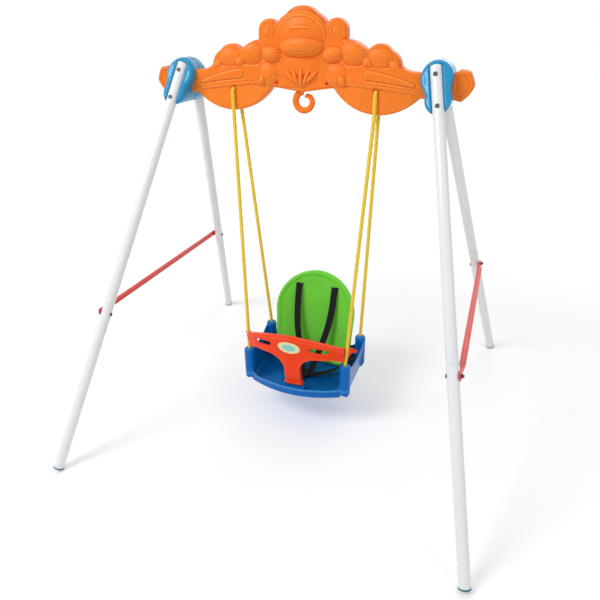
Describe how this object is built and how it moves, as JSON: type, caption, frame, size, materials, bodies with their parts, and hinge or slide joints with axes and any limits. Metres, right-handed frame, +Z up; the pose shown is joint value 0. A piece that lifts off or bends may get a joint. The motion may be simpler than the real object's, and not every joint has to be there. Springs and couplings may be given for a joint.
{
  "type": "child swing",
  "caption": "Free-standing garden swing for a toddler: tube A-frames, a moulded plastic crossbeam and a bucket seat on ropes with a sliding front guard and a harness.",
  "frame": {"origin": "bottom centre of the bounding box: on the ground, midway between the feet", "axes": "+Z up, +X along the crossbeam to the right of the seated child's view from the front, the child faces -Y"},
  "size_m": [1.3168, 1.2758, 1.3302],
  "materials": {
    "beam_plastic": "blow-moulded, softly stippled",
    "red_plug": "smooth",
    "bracket_plastic": "glossy moulding",
    "leg_paint": "white powder coat",
    "foot_plastic": "moulded cap",
    "brace_paint": "red powder coat",
    "fastener": "dull zinc",
    "rope": "braided cord",
    "seat_plastic": "injection moulded",
    "backrest_plastic": "injection moulded",
    "guard_plastic": "injection moulded",
    "label": "plain oval film",
    "webbing": "woven tape",
    "buckle_plastic": "moulded"
  },
  "bodies": {
    "frame": {"beam": "beam_plastic", "beam_plug_left": "red_plug", "brace_left": "brace_paint", "rope_loop_left": "rope", "beam_plug_right": "red_plug", "brace_right": "brace_paint", "rope_loop_right": "rope", "bracket_front_left": "bracket_plastic", "leg_upper_front_left": "leg_paint", "leg_lower_front_left": "leg_paint", "foot_cap_front_left": "foot_plastic", "bracket_bolt_front_left_upper": "fastener", "bracket_bolt_front_left_lower": "fastener", "brace_bolt_front_left": "fastener", "brace_nut_front_left": "fastener", "bracket_rear_left": "bracket_plastic", "leg_upper_rear_left": "leg_paint", "leg_lower_rear_left": "leg_paint", "foot_cap_rear_left": "foot_plastic", "bracket_bolt_rear_left_upper": "fastener", "bracket_bolt_rear_left_lower": "fastener", "brace_bolt_rear_left": "fastener", "brace_nut_rear_left": "fastener", "bracket_front_right": "bracket_plastic", "leg_upper_front_right": "leg_paint", "leg_lower_front_right": "leg_paint", "foot_cap_front_right": "foot_plastic", "bracket_bolt_front_right_upper": "fastener", "bracket_bolt_front_right_lower": "fastener", "brace_bolt_front_right": "fastener", "brace_nut_front_right": "fastener", "bracket_rear_right": "bracket_plastic", "leg_upper_rear_right": "leg_paint", "leg_lower_rear_right": "leg_paint", "foot_cap_rear_right": "foot_plastic", "bracket_bolt_rear_right_upper": "fastener", "bracket_bolt_rear_right_lower": "fastener", "brace_bolt_rear_right": "fastener", "brace_nut_rear_right": "fastener"},
    "swing": {"seat_pan": "seat_plastic", "backrest": "backrest_plastic", "rope_front_left": "rope", "rope_knot_front_left": "rope", "rope_rear_left": "rope", "rope_knot_rear_left": "rope", "rope_front_right": "rope", "rope_knot_front_right": "rope", "rope_rear_right": "rope", "rope_knot_rear_right": "rope", "buckle": "buckle_plastic", "shoulder_strap_left": "webbing", "lap_strap_left": "webbing", "shoulder_strap_right": "webbing", "lap_strap_right": "webbing", "crotch_strap": "webbing"},
    "guard": {"t_bar": "guard_plastic", "t_bar_label": "label"}
  },
  "joints": [
    {"name": "swing", "type": "hinge", "parent": "frame", "child": "swing", "pos_m": [0, 0, 1.052], "axis": [1, 0, 0], "range_deg": [-40, 40], "deforming": ["rope_loop_left", "rope_loop_right"]},
    {"name": "t_bar_slide", "type": "slide", "parent": "swing", "child": "guard", "axis": [0, 0.101, 0.9949], "range_m": [0, 0.22]}
  ]
}
